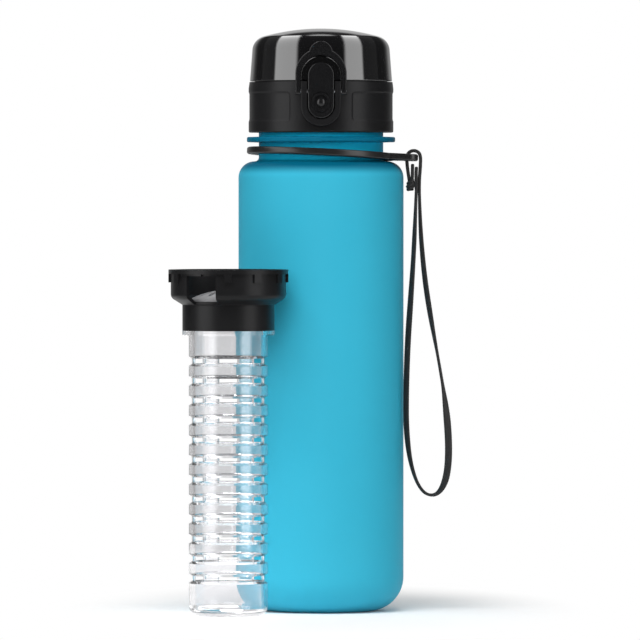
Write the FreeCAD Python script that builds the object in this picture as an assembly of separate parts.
"""Fruit infuser water bottle: screw cap with flip lid, carrying strap and slotted infuser.

Millimetres. The origin is the middle of the bottle's base on the table, +Z is up, the
latch faces -Y and the strap hangs at +X. The infuser stands in front, to the left.
"""

import FreeCAD
import Part
import math
import os
from FreeCAD import Vector

# For every piece: how far a cutting shape runs past what it cuts, and what counts as touching
overrun = 1.0
touch = 1e-4

# Bottle body
body_radius = 32.5
body_wall = 1.8
body_height = 177.0
base_corner = 13.4
floor_thickness = 2.4
punt_radius = 13.0
punt_depth = 1.5

# Bottle neck
neck_radius = 24.5
neck_wall = 1.9
neck_fillet = 1.6
strap_groove = 7.4
flange_reach = 4.7
flange_thickness = 2.3
flange_draft = 0.12
flange_round = 0.6
finish_height = 16.7

# Thread between bottle and cap
cap_pitch = 4.0
cap_turns = 1.5
cap_ridge_depth = 1.25
cap_ridge_base = 1.9
cap_ridge_tip = 0.9
cap_thread_clearance = 0.45
neck_thread_start = 5.4
ridge_sink = 0.3

# Cap ring
cap_gap = 1.6
cap_wall = 2.3
cap_edge = 0.6
cap_taper = 0.35
cap_taper_height = 2.6
seal_thickness = 1.8
seal_width = 3.8
seal_clearance = 0.2
deck_thickness = 1.8
cap_rim_step = 1.2
nest_height = 1.6
nest_thickness = 1.3
grip_depth = 0.3
grip_start = 22.6
grip_sweep = 129.8
grip_low = 3.1
grip_high = 2.7
grip_corner = 3.0
grip_blend = 2.4

# Drinking spout
spout_offset = 5.0
spout_height = 10.0
spout_bore = 7.0
spout_wall = 1.6
spout_foot = 1.0
spout_round = 0.6

# Flip lid
lid_gap = 0.25
lid_step = 0.5
lid_height = 20.8
lid_draft = 1.6
lid_wall = 1.6
lid_round = 6.0
lid_dome = 88.0
lid_edge = 0.4
lid_nest_clearance = 0.4
liner_depth = 7.8
liner_thickness = 1.6
liner_ledge = 2.4
liner_clearance = 0.2
plug_reach = 1.5
plug_gap = 0.15
plug_clearance = 0.6
plug_socket_wall = 1.4
plug_flange = 2.3

# Lid hinge
hinge_radius = 2.3
hinge_clearance = 0.3
hinge_pin_radius = 1.0
pin_clearance = 0.05
ear_width = 3.0
knuckle_width = 2.6
spring_space = 4.6
pin_overhang = 0.2
spring_wire = 0.6
spring_turns = 3.25
spring_pitch = 1.05
spring_clearance = 0.2
spring_leg = 1.5

# Latch and its housing
latch_width = 10.2
latch_top = 7.4
latch_length = 21.9
latch_thickness = 2.0
latch_edge = 0.5
latch_pin_drop = 3.8
latch_pin_radius = 0.75
latch_pivot_reach = 1.5
latch_barrel = 1.4
latch_gap = 0.4
latch_hook = 1.0
hook_width = 5.1
hook_height = 2.0
hook_sink = 0.2
dish_drop = 4.5
dish_ring = 4.3
dish_radius = 2.9
dish_depth = 0.6
dish_groove = 0.8
dish_groove_depth = 0.3
stud_radius = 2.2
stud_stand = 0.45
housing_width = 15.6
housing_front = 2.7
housing_low = 2.4
housing_inset = 0.2
pocket_depth = 3.6
leaf_thickness = 0.3
leaf_width = 6.0
leaf_foot = 3.4
leaf_lean = 1.0
leaf_tip_gap = 1.2

# Safety bail
bail_clearance = 0.25
bail_arm = 1.95
bail_foot = 0.5
bail_thickness = 2.0
bail_arch_height = 5.9
bail_crown = 2.7
bail_tab_radius = 4.7
bail_tab_height = 8.8
bail_edge = 0.45
arch_relief = 0.8
arch_clearance = 0.3

# Strap ring
strap_clearance = 0.45
strap_band = 4.25
strap_height = 2.8
strap_edge = 0.85
strap_drop = 0.75
strap_side_tilt = 2.7
strap_front_tilt = 1.5
tab_angle = -11.5
tab_length = 9.7
tab_root_width = 11.0
tab_end_radius = 3.8
tab_bar = 3.5
tab_slot_width = 2.5
tab_slot_length = 3.8

# Strap cords, as routes of points (x, y, z)
bend_share = 0.45
tether_width = 1.4
loop_width = 2.4
loop_thickness = 1.2
knot_radius = 1.7
knot_low = Vector(35.3, -7.5, 166.8)
knot_high = Vector(35.1, -7.5, 168.5)
stub_radius = 0.65
stub_ends = [
    (Vector(35.6, -8.0, 168.5), Vector(36.0, -8.0, 176.0)),
    (Vector(37.4, -8.2, 166.0), Vector(37.5, -8.1, 174.9)),
]
tether_points = [
    (38.6, -6.6, 165.4),
    (38.6, -6.8, 169.6),
    (39.0, -7.2, 174.1),
    (39.2, -7.4, 179.5),
    (37.6, -7.4, 181.15),
    (35.3, -7.4, 181.15),
    (33.65, -7.4, 179.5),
    (33.85, -7.4, 174.5),
    (34.75, -7.4, 169.2),
]
loop_points = [
    (37.45, -8.2, 166.8),
    (37.0, -8.2, 154.2),
    (36.3, -8.1, 138.6),
    (35.2, -7.8, 122.4),
    (34.1, -7.6, 106.4),
    (33.5, -7.5, 89.6),
    (33.4, -7.4, 73.8),
    (34.4, -7.4, 62.8),
    (36.0, -7.4, 55.4),
    (38.2, -7.3, 49.6),
    (41.3, -7.3, 45.9),
    (45.5, -7.2, 45.7),
    (48.6, -7.2, 50.0),
    (50.1, -7.1, 57.4),
    (50.2, -7.0, 68.4),
    (48.9, -7.0, 82.8),
    (46.3, -6.9, 98.4),
    (43.4, -6.8, 113.8),
    (40.9, -6.7, 129.6),
    (39.5, -6.6, 144.0),
    (38.85, -6.6, 156.2),
    (38.6, -6.6, 166.8),
]

# Infuser tube
tube_radius = 15.4
tube_wall = 2.2
tube_floor = 3.6
tube_foot_round = 4.5
tube_body = 109.5
tube_flange_thickness = 1.7
tube_neck = 9.0
groove_count = 12
groove_pitch = 7.67
groove_first = 13.95
groove_open = 3.8
groove_root = 2.1
groove_depth = 1.2
slot_count = 6
slot_sweep = 32.0

# Infuser collar
collar_pitch = 3.0
collar_turns = 1.25
collar_ridge_depth = 0.8
collar_ridge_base = 1.4
collar_ridge_tip = 0.7
collar_thread_clearance = 0.4
tube_thread_start = 3.4
skirt_wall = 1.3
collar_clearance = 0.2
collar_wall = 1.6
collar_rim_reach = 0.9
collar_rim_thickness = 1.7
collar_cone = 2.8
collar_upper = 9.2
collar_ledge = 0.8
collar_round = 2.5
collar_top_gap = 0.2
lug_count = 12
lug_width = 2.9
lug_height = 3.3
window_count = 2
window_angle = 241.1
window_sweep = 33.5
window_low = 2.5
window_high = 0.7
strainer_thickness = 1.2
strainer_seat = 1.0
strainer_rise = 3.6
strainer_land = 2.0
strainer_clearance = 0.2
strainer_slots = 14
strainer_slot_width = 1.8
strainer_slot_length = 4.6
strainer_slot_radius = 10.0

# Where the infuser stands
stand_gap = 1.8
stand_angle = 231.36

# Heights that follow from the sizes above
flange_z = body_height + strap_groove
flange_top = flange_z + flange_thickness
cap_z = flange_top + cap_gap
lip_z = flange_top + finish_height
deck_z = lip_z + seal_thickness
deck_top = deck_z + deck_thickness
cap_top = deck_top + cap_rim_step
lid_z = cap_top + lid_gap
lid_top = lid_z + lid_height
spout_top = deck_top + spout_height
ledge_z = lid_top - liner_depth
hinge_z = cap_top + lid_gap / 2
pivot_z = cap_top - latch_pin_drop
latch_top_z = cap_top + latch_top
latch_low_z = latch_top_z - latch_length
arch_z = pivot_z + bail_arch_height

# Radii and places that follow from the sizes above
neck_bore = neck_radius - neck_wall
flange_radius = neck_radius + flange_reach
cap_bore = neck_radius + cap_ridge_depth + cap_thread_clearance
cap_radius = cap_bore + cap_wall
lid_radius = cap_radius - lid_step
nest_radius = lid_radius - lid_wall - lid_nest_clearance
hinge_y = cap_radius + hinge_radius + hinge_clearance
pivot_y = -(cap_radius + latch_pivot_reach)
housing_y = -(cap_radius + housing_front)
pocket_y = housing_y + pocket_depth
bail_inner = housing_width / 2 + bail_clearance
bail_outer = bail_inner + bail_arm
bail_back = pivot_y + bail_thickness / 2
arch_y = bail_back + arch_clearance
latch_front = pivot_y - latch_barrel
latch_back = latch_front + latch_thickness
collar_radius = neck_bore - collar_clearance
rim_radius = collar_radius + collar_rim_reach
mouth_step = rim_radius + collar_clearance
skirt_bore = tube_radius + collar_ridge_depth + collar_thread_clearance
skirt_radius = skirt_bore + skirt_wall
tube_bore = tube_radius - tube_wall
collar_z = tube_body + tube_flange_thickness
tube_top = collar_z + tube_neck
ledge_low = tube_top + collar_top_gap
ledge_top = ledge_low + collar_ledge
cone_top = ledge_top + collar_cone
rim_z = cone_top + collar_upper
stand_distance = body_radius + rim_radius + stand_gap
stand_x = stand_distance * math.cos(math.radians(stand_angle))
stand_y = stand_distance * math.sin(math.radians(stand_angle))

ORIGIN = Vector(0, 0, 0)
UP = Vector(0, 0, 1)
SIDE = Vector(1, 0, 0)


class Outline:
    """A closed outline in the X-Z plane, drawn from point to point."""

    def __init__(self, x, z):
        self.first = Vector(x, 0, z)
        self.here = self.first
        self.edges = []

    def line(self, x, z):
        there = Vector(x, 0, z)
        self.edges.append(Part.LineSegment(self.here, there).toShape())
        self.here = there

    def round(self, x, z, centre_x, centre_z):
        """An arc of less than half a circle about the centre."""
        there = Vector(x, 0, z)
        centre = Vector(centre_x, 0, centre_z)
        spoke = (self.here - centre) + (there - centre)
        spoke.normalize()
        middle = centre + spoke * (self.here - centre).Length
        self.edges.append(Part.Arc(self.here, middle, there).toShape())
        self.here = there

    def face(self):
        if (self.here - self.first).Length > touch:
            self.line(self.first.x, self.first.z)
        return Part.Face(Part.Wire(self.edges))

    def spin(self):
        return self.face().revolve(ORIGIN, UP, 360)


def tube_solid(inner, outer, low, high):
    """A plain ring between two radii and two heights."""
    ring = Part.makeCylinder(outer, high - low, Vector(0, 0, low))
    return ring.cut(Part.makeCylinder(inner, high - low, Vector(0, 0, low)))


def block(x_low, x_high, y_low, y_high, z_low, z_high):
    corner = Vector(x_low, y_low, z_low)
    return Part.makeBox(x_high - x_low, y_high - y_low, z_high - z_low, corner)


def rod_x(radius, x_low, x_high, y, z):
    """A cylinder along X."""
    return Part.makeCylinder(radius, x_high - x_low, Vector(x_low, y, z), SIDE)


def rod_y(radius, y_low, y_high, x, z):
    """A cylinder along Y."""
    return Part.makeCylinder(radius, y_high - y_low, Vector(x, y_low, z), Vector(0, 1, 0))


def sector(inner, outer, low, high, middle_angle, sweep):
    """A piece of a ring, centred on an angle about Z."""
    outline = Outline(inner, low)
    outline.line(outer, low)
    outline.line(outer, high)
    outline.line(inner, high)
    piece = outline.face().revolve(ORIGIN, UP, sweep)
    piece.rotate(ORIGIN, UP, middle_angle - sweep / 2)
    return piece


def stadium(half_width, low, high, y_low, y_high):
    """An upright plate with half-round ends, its thickness along Y."""
    plate = block(-half_width, half_width, y_low, y_high, low + half_width, high - half_width)
    for z in (low + half_width, high - half_width):
        plate = plate.fuse(rod_y(half_width, y_low, y_high, 0, z))
    return plate.removeSplitter()


def arch_plate(half_width, low, centre_z, y_low, y_high):
    """An upright plate with a flat foot and a half-round top."""
    plate = block(-half_width, half_width, y_low, y_high, low, centre_z)
    crown = rod_y(half_width, y_low, y_high, 0, centre_z)
    crown = crown.common(block(-half_width, half_width, y_low, y_high, centre_z, centre_z + half_width))
    return plate.fuse(crown).removeSplitter()


def soften(shape, radius, wanted):
    """Round the edges that the test picks."""
    return shape.makeFillet(radius, [edge for edge in shape.Edges if wanted(edge)])


def all_at_y(edge, y):
    box = edge.BoundBox
    return abs(box.YMin - y) < touch and abs(box.YMax - y) < touch


def all_at_z(edge, z):
    box = edge.BoundBox
    return abs(box.ZMin - z) < touch and abs(box.ZMax - z) < touch


def all_at_radius(edge, radius):
    return all(abs(math.hypot(p.x, p.y) - radius) < touch for p in edge.discretize(5))


def thread_ridge(root, crest, pitch, turns, start, base, tip):
    """A screw ridge from its root, sunk a little, to its crest."""
    sunk = root - math.copysign(ridge_sink, crest - root)
    corners = [
        Vector(sunk, 0, -base / 2),
        Vector(crest, 0, -tip / 2),
        Vector(crest, 0, tip / 2),
        Vector(sunk, 0, base / 2),
    ]
    helix = Part.makeHelix(pitch, pitch * turns, root)
    profile = Part.makePolygon(corners + corners[:1])
    ridge = Part.Wire(helix.Edges).makePipeShell([profile], True, True)
    ridge.translate(Vector(0, 0, start))
    return ridge


# Bottle


def bottle_body():
    """Blown body with a rounded foot, a tight shoulder, a flange and a threaded neck."""
    foot_x = body_radius - base_corner
    shoulder_x = neck_radius + neck_fillet
    shoulder_z = body_height - (body_radius - shoulder_x)
    punt_z = punt_depth - (punt_radius**2 + punt_depth**2) / (2 * punt_depth)
    tip_x = flange_radius - flange_round
    tip_low = flange_z + flange_draft + flange_round
    tip_high = flange_top - flange_draft - flange_round
    inner_radius = body_radius - body_wall
    inner_corner = base_corner - body_wall
    mouth_depth = collar_rim_thickness + lug_height + collar_clearance
    inner_fillet = neck_wall + neck_fillet
    inner_top = body_height - body_wall

    wall = Outline(0, punt_depth)
    wall.round(punt_radius, 0, 0, punt_z)
    wall.line(foot_x, 0)
    wall.round(body_radius, base_corner, foot_x, base_corner)
    wall.line(body_radius, shoulder_z)
    wall.round(shoulder_x, body_height, shoulder_x, shoulder_z)
    wall.round(neck_radius, body_height + neck_fillet, shoulder_x, body_height + neck_fillet)
    wall.line(neck_radius, flange_z)
    wall.line(tip_x, flange_z + flange_draft)
    wall.round(flange_radius, tip_low, tip_x, tip_low)
    wall.line(flange_radius, tip_high)
    wall.round(tip_x, flange_top - flange_draft, tip_x, tip_high)
    wall.line(neck_radius, flange_top)
    wall.line(neck_radius, lip_z)
    wall.line(mouth_step, lip_z)
    wall.line(mouth_step, lip_z - mouth_depth)
    wall.line(neck_bore, lip_z - mouth_depth)
    wall.line(neck_bore, inner_top + inner_fillet)
    wall.round(shoulder_x, inner_top, shoulder_x, inner_top + inner_fillet)
    wall.round(inner_radius, shoulder_z, shoulder_x, shoulder_z)
    wall.line(inner_radius, floor_thickness + inner_corner)
    wall.round(foot_x, floor_thickness, foot_x, floor_thickness + inner_corner)
    wall.line(punt_radius, floor_thickness)
    wall.round(0, floor_thickness + punt_depth, 0, floor_thickness + punt_z)
    ridge = thread_ridge(
        neck_radius,
        neck_radius + cap_ridge_depth,
        cap_pitch,
        cap_turns,
        flange_top + neck_thread_start,
        cap_ridge_base,
        cap_ridge_tip,
    )
    return wall.spin().fuse(ridge)


# Screw cap


def cap_shell():
    """The cap's skirt, its deck and the low wall that the lid closes over."""
    shell = Outline(cap_bore, cap_z)
    shell.line(cap_radius - cap_edge, cap_z)
    shell.round(cap_radius, cap_z + cap_edge, cap_radius - cap_edge, cap_z + cap_edge)
    shell.line(cap_radius, cap_top - cap_taper_height)
    shell.line(cap_radius - cap_taper, cap_top)
    shell.line(nest_radius, cap_top)
    shell.line(nest_radius, cap_top + nest_height)
    shell.line(nest_radius - nest_thickness, cap_top + nest_height)
    shell.line(nest_radius - nest_thickness, deck_top)
    shell.line(0, deck_top)
    shell.line(0, deck_z)
    shell.line(cap_bore, deck_z)
    return shell.spin()


def grip_recess(side):
    """A shallow finger panel on one side of the skirt, with rounded corners and a dished edge."""
    middle = -90 + side * (grip_start + grip_sweep / 2)
    floor = cap_radius - grip_depth
    outside = floor + grip_blend + overrun
    panel = sector(floor, outside, cap_z + grip_low, cap_top - grip_high, middle, grip_sweep)

    def corner(edge):
        return isinstance(edge.Curve, Part.Line) and edge.BoundBox.ZLength < touch

    panel = soften(panel, grip_corner, corner)
    return soften(panel, grip_blend, lambda edge: all_at_radius(edge, floor))


def housing():
    """The U-shaped latch housing on the cap's front."""
    half = housing_width / 2
    back = -(cap_bore + housing_inset)
    low = cap_z + housing_low
    shape = block(-half, half, housing_y, back, low + half, cap_top)
    shape = shape.fuse(rod_y(half, housing_y, back, 0, low + half)).removeSplitter()
    return soften(shape, latch_edge, lambda edge: all_at_y(edge, housing_y))


def latch_pocket():
    """The space that the latch moves in, open at the top and the front."""
    half = latch_width / 2 + latch_gap
    low = latch_low_z - latch_gap
    high = cap_top + nest_height
    return stadium(half, low, high + half, housing_y - overrun, pocket_y)


def hinge_ears():
    """Two barrels on the cap that hold the lid's pin."""
    inner = spring_space / 2 + knuckle_width + hinge_clearance
    outer = inner + ear_width
    ears = []
    for side in (-1, 1):
        low, high = sorted((side * inner, side * outer))
        barrel = rod_x(hinge_radius, low, high, hinge_y, hinge_z)
        web_low = hinge_z - hinge_radius
        web = block(low, high, cap_radius - cap_wall / 2, hinge_y, web_low, cap_top - hinge_clearance)
        ears.append(barrel.fuse(web))
    return ears


def hinge_reach():
    """Half the length of the lid's pin."""
    return spring_space / 2 + knuckle_width + hinge_clearance + ear_width + pin_overhang


def spout():
    """A tapered drinking spout with a rounded lip."""
    foot = spout_bore + spout_wall + spout_foot
    body = Part.makeCone(
        foot, spout_bore + spout_wall, spout_top - deck_z, Vector(0, -spout_offset, deck_z)
    )
    return soften(body, spout_round, lambda edge: all_at_z(edge, spout_top))


def spout_hole():
    low = Vector(0, -spout_offset, deck_z - overrun)
    return Part.makeCylinder(spout_bore, spout_top - deck_z + 2 * overrun, low)


def cap_ring():
    ring = cap_shell()
    for side in (-1, 1):
        ring = ring.cut(grip_recess(side))
    ring = ring.fuse([housing(), spout()] + hinge_ears())
    reach = hinge_reach()
    cuts = [
        latch_pocket(),
        spout_hole(),
        rod_x(hinge_pin_radius + pin_clearance, -reach, reach, hinge_y, hinge_z),
        rod_x(latch_pin_radius + pin_clearance, -bail_outer, bail_outer, pivot_y, pivot_z),
    ]
    ring = ring.cut(cuts).removeSplitter()
    ridge = thread_ridge(
        cap_bore,
        cap_bore - cap_ridge_depth,
        cap_pitch,
        cap_turns,
        flange_top + neck_thread_start - cap_pitch / 2,
        cap_ridge_base,
        cap_ridge_tip,
    )
    return ring.fuse(ridge)


def cap_seal():
    outer = cap_bore - seal_clearance
    return tube_solid(outer - seal_width, outer, lip_z, deck_z)


# Flip lid


def lid_side(z):
    """The lid's outer radius at a height on its slightly tapered side."""
    return lid_radius - lid_draft * (z - lid_z) / lid_height


def lid_outer():
    """The lid's outside: a tapered drum with a rounded edge under a shallow dome."""
    drum = Part.makeCone(lid_radius, lid_side(lid_top), lid_height, Vector(0, 0, lid_z))
    dome = Part.makeSphere(lid_dome, Vector(0, 0, lid_top - lid_dome))
    body = drum.common(dome)
    middle = (lid_z + lid_top) / 2
    body = soften(body, lid_round, lambda edge: edge.BoundBox.ZMin > middle and edge.Closed)
    return soften(body, lid_edge, lambda edge: all_at_z(edge, lid_z))


def lid_cavity():
    """The lid's inside: a wide lower space, a ledge for the liner and a space under the dome."""
    low_radius = lid_radius - lid_wall
    high_radius = lid_side(ledge_z) - lid_wall
    lower = Part.makeCone(low_radius, high_radius, ledge_z - lid_z, Vector(0, 0, lid_z))
    inner_dome = Part.makeSphere(lid_dome - lid_wall, Vector(0, 0, lid_top - lid_dome))
    upper = Part.makeCylinder(high_radius - liner_ledge, lid_height, Vector(0, 0, ledge_z))
    return lower.fuse(upper.common(inner_dome))


def lid_knuckles():
    """Two barrels on the lid, between the cap's ears."""
    inner = spring_space / 2
    outer = inner + knuckle_width
    knuckles = []
    for side in (-1, 1):
        low, high = sorted((side * inner, side * outer))
        barrel = rod_x(hinge_radius, low, high, hinge_y, hinge_z)
        web_low = lid_z + hinge_clearance
        web_high = hinge_z + hinge_radius
        web = block(low, high, lid_radius - lid_wall, hinge_y, web_low, web_high)
        knuckles.append(barrel.fuse(web))
    return knuckles


def flip_lid():
    half = housing_width / 2
    boss = arch_plate(half, lid_z, arch_z, arch_y, -(lid_radius - 2 * lid_wall))
    boss = soften(boss, latch_edge, lambda edge: all_at_y(edge, arch_y))
    relief_half = latch_width / 2 + latch_gap
    relief = arch_plate(relief_half, lid_z - overrun, arch_z, arch_y - overrun, arch_y + arch_relief)
    reach = hinge_reach()
    lid = lid_outer().fuse([boss.cut(relief)] + lid_knuckles())
    pin_hole = rod_x(hinge_pin_radius + pin_clearance, -reach, reach, hinge_y, hinge_z)
    return lid.cut([lid_cavity(), relief, pin_hole]).removeSplitter()


def plug_radius():
    return spout_bore + spout_wall + plug_clearance


def lid_liner():
    """A plate against the lid's ledge, with a round socket for the plug."""
    radius = lid_side(ledge_z) - lid_wall - liner_clearance
    low = ledge_z - liner_thickness
    plate = Part.makeCylinder(radius, liner_thickness, Vector(0, 0, low))
    inner = plug_radius() + liner_clearance
    socket = tube_solid(inner, inner + plug_socket_wall, low - plug_flange, low)
    socket.translate(Vector(0, -spout_offset, 0))
    return plate.fuse(socket).removeSplitter()


def lid_plug_seal():
    """A soft plug: a flange over the spout's lip and a tapered nose in its bore."""
    low = spout_top + plug_gap
    high = ledge_z - liner_thickness
    nose = spout_bore - plug_clearance
    plug = Outline(0, low - plug_reach)
    plug.line(nose - plug_clearance, low - plug_reach)
    plug.line(nose, low)
    plug.line(plug_radius(), low)
    plug.line(plug_radius(), high)
    plug.line(0, high)
    seal = plug.spin()
    seal.translate(Vector(0, -spout_offset, 0))
    return seal


def lid_hinge_pin():
    reach = hinge_reach()
    return rod_x(hinge_pin_radius, -reach, reach, hinge_y, hinge_z)


def bent_edge(start, corner, end):
    """An arc that leaves the start towards the corner and reaches the end from it."""
    middle = (start + end) * 0.5
    rise = corner - middle
    half = (end - start).Length / 2
    sagitta = half * math.tan(math.atan2(rise.Length, half) / 2)
    rise.normalize()
    return Part.Arc(start, middle + rise * sagitta, end).toShape()


def biarc(start, out, end, onward):
    """Two arcs that join two points along the directions given there."""
    chord = end - start
    a = 2 * (1 - out.dot(onward))
    b = 2 * chord.dot(out + onward)
    reach = (math.sqrt(b * b + 4 * a * chord.dot(chord)) - b) / (2 * a)
    first = start + out * reach
    second = end - onward * reach
    joint = (first + second) * 0.5
    return [bent_edge(start, first, joint), bent_edge(joint, second, end)]


def least_gap(path, along):
    """The least distance between points of a path that lie further apart along it than given."""
    points = path.discretize(Distance=spring_wire / 4)
    skip = math.ceil(along / (points[1] - points[0]).Length)
    return min(
        (there - here).Length for i, here in enumerate(points) for there in points[i + skip :]
    )


def lid_spring():
    """A torsion spring round the hinge pin, between the lid's knuckles, with two short legs."""
    radius = hinge_pin_radius + spring_clearance + spring_wire / 2
    quarters = round(spring_turns * 4)
    left = -spring_pitch * spring_turns / 2

    def coil_point(turn):
        angle = 2 * math.pi * turn + math.pi
        y = hinge_y + radius * math.cos(angle)
        return Vector(left + spring_pitch * turn, y, hinge_z + radius * math.sin(angle))

    def coil_direction(turn):
        angle = 2 * math.pi * turn + math.pi
        turning = 2 * math.pi * radius
        way = Vector(spring_pitch, -turning * math.sin(angle), turning * math.cos(angle))
        return way.normalize()

    turns = [spring_turns * i / quarters for i in range(quarters + 1)]
    first = coil_point(0)
    last = coil_point(spring_turns)
    edges = [Part.LineSegment(first - coil_direction(0) * spring_leg, first).toShape()]
    for here, there in zip(turns, turns[1:]):
        edges += biarc(
            coil_point(here), coil_direction(here), coil_point(there), coil_direction(there)
        )
    tail = last + coil_direction(spring_turns) * spring_leg
    edges.append(Part.LineSegment(last, tail).toShape())
    path = Part.Wire(edges)
    start = path.Edges[0].firstVertex().Point
    section = Part.Wire(Part.makeCircle(spring_wire / 2, start, coil_direction(0)))
    print("lid_spring least gap to itself:", round(least_gap(path, math.pi * radius) - spring_wire, 3))
    return path.makePipeShell([section], True, False)


# Latch


def dish_cuts():
    """A ring groove and a dish, both with sloping walls, cut into a face at height 0."""
    groove_inner = dish_ring - dish_groove
    groove = Outline(dish_ring + overrun, overrun)
    groove.line(dish_ring - dish_groove_depth, -dish_groove_depth)
    groove.line(groove_inner + dish_groove_depth, -dish_groove_depth)
    groove.line(groove_inner - overrun, overrun)
    dish = Outline(0, overrun)
    dish.line(dish_radius + overrun, overrun)
    dish.line(dish_radius - dish_depth, -dish_depth)
    dish.line(0, -dish_depth)
    return [groove.spin(), dish.spin()]


def facing(shape, z):
    """Turn a shape that points up so that it points to the front, on the latch's face."""
    shape.rotate(ORIGIN, SIDE, 90)
    shape.translate(Vector(0, latch_front, z))
    return shape


def latch():
    """The push latch: a rounded plate on a pin barrel, with a thumb dish and a top hook."""
    half = latch_width / 2
    plate = stadium(half, latch_low_z, latch_top_z, latch_front, latch_back)
    plate = soften(plate, latch_edge, lambda edge: all_at_y(edge, latch_front))
    barrel = rod_x(latch_barrel, -half, half, pivot_y, pivot_z)
    hook_low = latch_top_z - half
    hook = block(
        -hook_width / 2,
        hook_width / 2,
        latch_back - hook_sink,
        latch_back + latch_hook,
        hook_low,
        hook_low + hook_height,
    )
    dish_z = pivot_z - dish_drop
    shape = plate.fuse([barrel, hook]).removeSplitter()
    groove, dish = [facing(cut, dish_z) for cut in dish_cuts()]
    bore = rod_x(latch_pin_radius + pin_clearance, -half, half, pivot_y, pivot_z)
    shape = shape.cut([groove, dish, bore])
    stud = Part.makeSphere(stud_radius, Vector(0, latch_front + stud_radius - stud_stand, dish_z))
    stud = stud.common(rod_y(stud_radius, latch_front - overrun, latch_back, 0, dish_z))
    return shape.fuse(stud)


def latch_pin():
    return rod_x(latch_pin_radius, -bail_outer, bail_outer, pivot_y, pivot_z)


def latch_spring():
    """A leaf spring: its foot lies on the pocket's back wall, its tip leans to the latch."""
    pocket_half = latch_width / 2 + latch_gap
    pocket_centre = latch_low_z - latch_gap + pocket_half
    foot_low = pocket_centre - math.sqrt(pocket_half**2 - (leaf_width / 2 + latch_gap) ** 2)
    foot_high = foot_low + leaf_foot
    tip_z = pivot_z - latch_barrel - leaf_tip_gap
    tip_y = pocket_y - leaf_lean
    leaf = Part.makePolygon(
        [
            Vector(0, pocket_y, foot_low),
            Vector(0, pocket_y, foot_high),
            Vector(0, tip_y, tip_z),
            Vector(0, tip_y - leaf_thickness, tip_z),
            Vector(0, pocket_y - leaf_thickness, foot_high),
            Vector(0, pocket_y - leaf_thickness, foot_low),
            Vector(0, pocket_y, foot_low),
        ]
    )
    solid = Part.Face(leaf).extrude(Vector(leaf_width, 0, 0))
    solid.translate(Vector(-leaf_width / 2, 0, 0))
    return solid


def safety_bail():
    """An arch that turns on the latch's pin, with a thumb tab on its crown."""
    front = bail_back - bail_thickness
    crown_z = arch_z + bail_crown - bail_arm
    eye = bail_thickness / 2
    foot_z = pivot_z - bail_foot
    low = foot_z - 2 * eye
    body = arch_plate(bail_outer, low, crown_z, front, bail_back)
    tab = rod_y(bail_tab_radius, front, bail_back, 0, arch_z + bail_tab_height)
    body, tab = [soften(s, bail_edge, lambda edge: all_at_y(edge, front)) for s in (body, tab)]
    ahead = front - overrun
    behind = bail_back + overrun
    opening = arch_plate(bail_inner, low - overrun, arch_z, ahead, behind)
    body = body.fuse(tab).cut(opening).removeSplitter()
    corner = block(-bail_outer, bail_outer, ahead, behind, low - overrun, foot_z)
    corner = corner.cut(rod_x(eye, -bail_outer, bail_outer, pivot_y, foot_z))
    bore = rod_x(latch_pin_radius + pin_clearance, -bail_outer, bail_outer, pivot_y, pivot_z)
    return body.cut([corner, bore])


# Carrying strap


def tilted(shape):
    """Lean the ring as it hangs: lower at the tab, higher at the front."""
    shape.rotate(ORIGIN, Vector(0, 1, 0), strap_side_tilt)
    shape.rotate(ORIGIN, SIDE, -strap_front_tilt)
    shape.translate(Vector(0, 0, body_height + strap_groove / 2 - strap_drop))
    return shape


def strap_tab(root, end, half):
    """The tab: straight sides that run into its round end, with a slot that leaves a bar."""
    side = tab_root_width / 2
    reach = math.hypot(end - root, side)
    slope = math.atan2(side, end - root) - math.asin(tab_end_radius / reach)
    run = math.sqrt(reach**2 - tab_end_radius**2)
    meet_x = root + run * math.cos(slope)
    meet_y = side - run * math.sin(slope)
    corners = [
        Vector(root, -side, -half),
        Vector(meet_x, -meet_y, -half),
        Vector(end + tab_end_radius, 0, -half),
        Vector(meet_x, meet_y, -half),
        Vector(root, side, -half),
    ]
    outline = [
        Part.LineSegment(corners[0], corners[1]),
        Part.Arc(corners[1], corners[2], corners[3]),
        Part.LineSegment(corners[3], corners[4]),
        Part.LineSegment(corners[4], corners[0]),
    ]
    wire = Part.Wire([edge.toShape() for edge in outline])
    tab = Part.Face(wire).extrude(Vector(0, 0, 2 * half))
    slot_x = end + tab_end_radius - tab_bar - tab_slot_width / 2
    slot_half = tab_slot_width / 2
    straight = (tab_slot_length - tab_slot_width) / 2
    slot = block(slot_x - slot_half, slot_x + slot_half, -straight, straight, -half, half)
    for y in (-straight, straight):
        slot = slot.fuse(Part.makeCylinder(slot_half, 2 * half, Vector(slot_x, y, -half)))
    tab = tab.cut(slot.removeSplitter())

    def rounded(edge):
        return edge.BoundBox.XMax > root + touch and edge.BoundBox.ZLength < touch

    return soften(tab, strap_edge, rounded)


def strap_ring():
    """A rubber ring of round-edged section with a tab for the tether."""
    inner = neck_radius + strap_clearance
    outer = inner + strap_band
    half = strap_height / 2
    flat = half - strap_edge
    section = Outline(inner + strap_edge, -half)
    section.line(outer - strap_edge, -half)
    section.round(outer, -flat, outer - strap_edge, -flat)
    section.line(outer, flat)
    section.round(outer - strap_edge, half, outer - strap_edge, flat)
    section.line(inner + strap_edge, half)
    section.round(inner, flat, inner + strap_edge, flat)
    section.line(inner, -flat)
    section.round(inner + strap_edge, -half, inner + strap_edge, -flat)
    tab = strap_tab(inner + strap_band / 2, outer + tab_length - tab_end_radius, half)
    band = section.spin().fuse(tab)
    band.rotate(ORIGIN, UP, tab_angle)
    return tilted(band)


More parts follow.
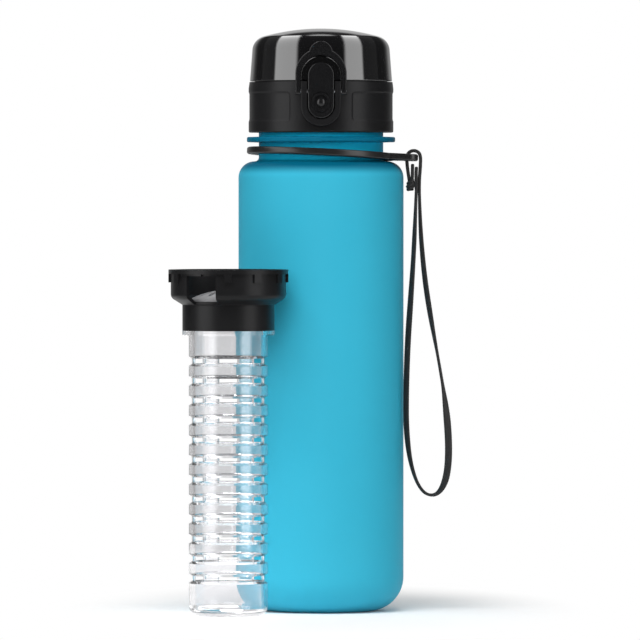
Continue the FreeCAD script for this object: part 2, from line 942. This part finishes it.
def cord_path(points):
    """Straight runs joined by arcs as large as the runs allow; returns the wire and the radii."""
    corners = [Vector(*point) for point in points]
    edges = []
    radii = []
    here = corners[0]
    for before, corner, after in zip(corners, corners[1:], corners[2:]):
        back = before - corner
        ahead = after - corner
        reach = bend_share * min(back.Length, ahead.Length)
        half_turn = (math.pi - back.getAngle(ahead)) / 2
        radii.append(reach / math.tan(half_turn))
        start = corner + back.normalize() * reach
        end = corner + ahead.normalize() * reach
        edges.append(Part.LineSegment(here, start).toShape())
        edges.append(bent_edge(start, corner, end))
        here = end
    edges.append(Part.LineSegment(here, corners[-1]).toShape())
    return Part.Wire(edges), radii


def cord(name, points, section, area):
    path, radii = cord_path(points)
    solid = path.makePipeShell([section], True, False)
    share = solid.Volume / (area * path.Length)
    print(name, "length", round(path.Length, 1), "volume share", round(share, 3))
    print(name, "bend radii", [round(radius, 1) for radius in radii])
    return solid


def strap_tether():
    start = Vector(*tether_points[0])
    way = Vector(*tether_points[1]) - start
    radius = tether_width / 2
    section = Part.Wire(Part.makeCircle(radius, start, way))
    return cord("strap_tether", tether_points, section, math.pi * radius**2)


def strap_loop():
    """The flat wrist loop, with its broad side to the front."""
    start = Vector(*loop_points[0])
    across = SIDE * (loop_width / 2)
    through = Vector(0, loop_thickness / 2, 0)
    corners = [
        start - across - through,
        start + across - through,
        start + across + through,
        start - across + through,
    ]
    section = Part.makePolygon(corners + corners[:1])
    return cord("strap_loop", loop_points, section, loop_width * loop_thickness)


def strap_knot():
    """A tight knot with two cut ends standing up."""
    way = knot_high - knot_low
    knot = Part.makeCylinder(knot_radius, way.Length, knot_low, way)
    lobes = [Part.makeSphere(knot_radius, point) for point in (knot_low, knot_high)]
    stubs = [
        Part.makeCylinder(stub_radius, (high - low).Length, low, high - low)
        for low, high in stub_ends
    ]
    return knot.fuse(lobes + stubs).removeSplitter()


# Infuser


def standing(shape):
    """Put an infuser piece where the infuser stands."""
    shape.translate(Vector(stand_x, stand_y, 0))
    return shape


def infuser_tube():
    """A clear tube with rows of slots in grooves, a stop flange and a threaded neck."""
    root = tube_radius - groove_depth
    flare = (groove_open - groove_root) / 2
    wall = Outline(0, 0)
    wall.line(tube_radius - tube_foot_round, 0)
    wall.round(tube_radius, tube_foot_round, tube_radius - tube_foot_round, tube_foot_round)
    for row in range(groove_count):
        low = groove_first + groove_pitch * row
        wall.line(tube_radius, low - flare)
        wall.line(root, low)
        wall.line(root, low + groove_root)
        wall.line(tube_radius, low + groove_root + flare)
    wall.line(tube_radius, tube_body)
    wall.line(skirt_radius, tube_body)
    wall.line(skirt_radius, collar_z)
    wall.line(tube_radius, collar_z)
    wall.line(tube_radius, tube_top)
    wall.line(tube_bore, tube_top)
    wall.line(tube_bore, tube_floor)
    wall.line(0, tube_floor)
    slots = []
    for row in range(groove_count):
        low = groove_first + groove_pitch * row
        for place in range(slot_count):
            angle = -90 + 360 * place / slot_count
            slots.append(
                sector(tube_bore - overrun, root + overrun, low, low + groove_root, angle, slot_sweep)
            )
    ridge = thread_ridge(
        tube_radius,
        tube_radius + collar_ridge_depth,
        collar_pitch,
        collar_turns,
        collar_z + tube_thread_start,
        collar_ridge_base,
        collar_ridge_tip,
    )
    return standing(wall.spin().cut(slots).fuse(ridge))


def infuser_collar():
    """A funnel with a rim of lugs, two windows and a threaded skirt."""
    inner = collar_radius - collar_wall
    throat = skirt_radius - collar_wall / 2
    opening = tube_bore + strainer_land / 2
    rim_top = rim_z + collar_rim_thickness
    wall = Outline(skirt_bore, collar_z)
    wall.line(skirt_radius, collar_z)
    wall.line(skirt_radius, ledge_top)
    wall.line(collar_radius, cone_top)
    wall.line(collar_radius, rim_z)
    wall.line(rim_radius, rim_z)
    wall.line(rim_radius, rim_top)
    wall.line(inner, rim_top)
    wall.line(inner, cone_top + collar_wall / 2)
    wall.line(throat, ledge_top + collar_wall / 2)
    wall.line(throat, ledge_top)
    wall.line(opening, ledge_top)
    wall.line(opening, ledge_low)
    wall.line(skirt_bore, ledge_low)
    funnel = soften(wall.spin(), collar_round, lambda edge: all_at_z(edge, cone_top))
    lugs = []
    for place in range(lug_count):
        lug = block(inner + collar_wall / 2, rim_radius, -lug_width / 2, lug_width / 2, 0, lug_height)
        lug.translate(Vector(0, 0, rim_z - lug_height))
        lug.rotate(ORIGIN, UP, -90 + 360 * place / lug_count)
        lugs.append(lug)
    windows = [
        sector(
            min(skirt_radius, inner - overrun),
            rim_radius + overrun,
            cone_top - window_low,
            rim_z - window_high,
            window_angle + 360 * place / window_count,
            window_sweep,
        )
        for place in range(window_count)
    ]
    funnel = funnel.fuse(lugs).cut(windows).removeSplitter()
    ridge = thread_ridge(
        skirt_bore,
        skirt_bore - collar_ridge_depth,
        collar_pitch,
        collar_turns,
        collar_z + tube_thread_start - collar_pitch / 2,
        collar_ridge_base,
        collar_ridge_tip,
    )
    return standing(funnel.fuse(ridge))


def infuser_strainer():
    """A domed strainer with a flat rim and a ring of slots."""
    radius = skirt_radius - collar_wall / 2 - strainer_clearance
    land = radius - strainer_land
    dome = (land**2 + strainer_rise**2) / (2 * strainer_rise)
    low = ledge_top + strainer_seat
    centre_low = low + strainer_rise - dome
    plate = Outline(0, low + strainer_rise)
    plate.round(land, low, 0, centre_low)
    plate.line(land, ledge_top)
    plate.line(radius, ledge_top)
    plate.line(radius, low + strainer_thickness)
    plate.line(land, low + strainer_thickness)
    plate.round(0, low + strainer_rise + strainer_thickness, 0, centre_low + strainer_thickness)
    solid = plate.spin()
    half = strainer_slot_width / 2
    slots = []
    for place in range(strainer_slots):
        start = strainer_slot_radius - strainer_slot_length / 2
        stop = strainer_slot_radius + strainer_slot_length / 2
        high = low + strainer_rise + strainer_thickness + overrun
        slot = block(start, stop, -half, half, low - overrun, high)
        slot.rotate(ORIGIN, UP, 360 * place / strainer_slots)
        slots.append(slot)
    return standing(solid.cut(slots))


PIECES = [
    bottle_body,
    cap_ring,
    cap_seal,
    flip_lid,
    lid_liner,
    lid_plug_seal,
    lid_hinge_pin,
    lid_spring,
    latch,
    latch_pin,
    latch_spring,
    safety_bail,
    strap_ring,
    strap_tether,
    strap_loop,
    strap_knot,
    infuser_tube,
    infuser_collar,
    infuser_strainer,
]

os.makedirs("parts", exist_ok=True)
for piece in PIECES:
    shape = piece()
    if not shape.isValid():
        print("not valid:", piece.__name__)
    print(piece.__name__, "solids", len(shape.Solids), "volume", round(shape.Volume, 1))
    shape.exportStep("parts/" + piece.__name__ + ".step")
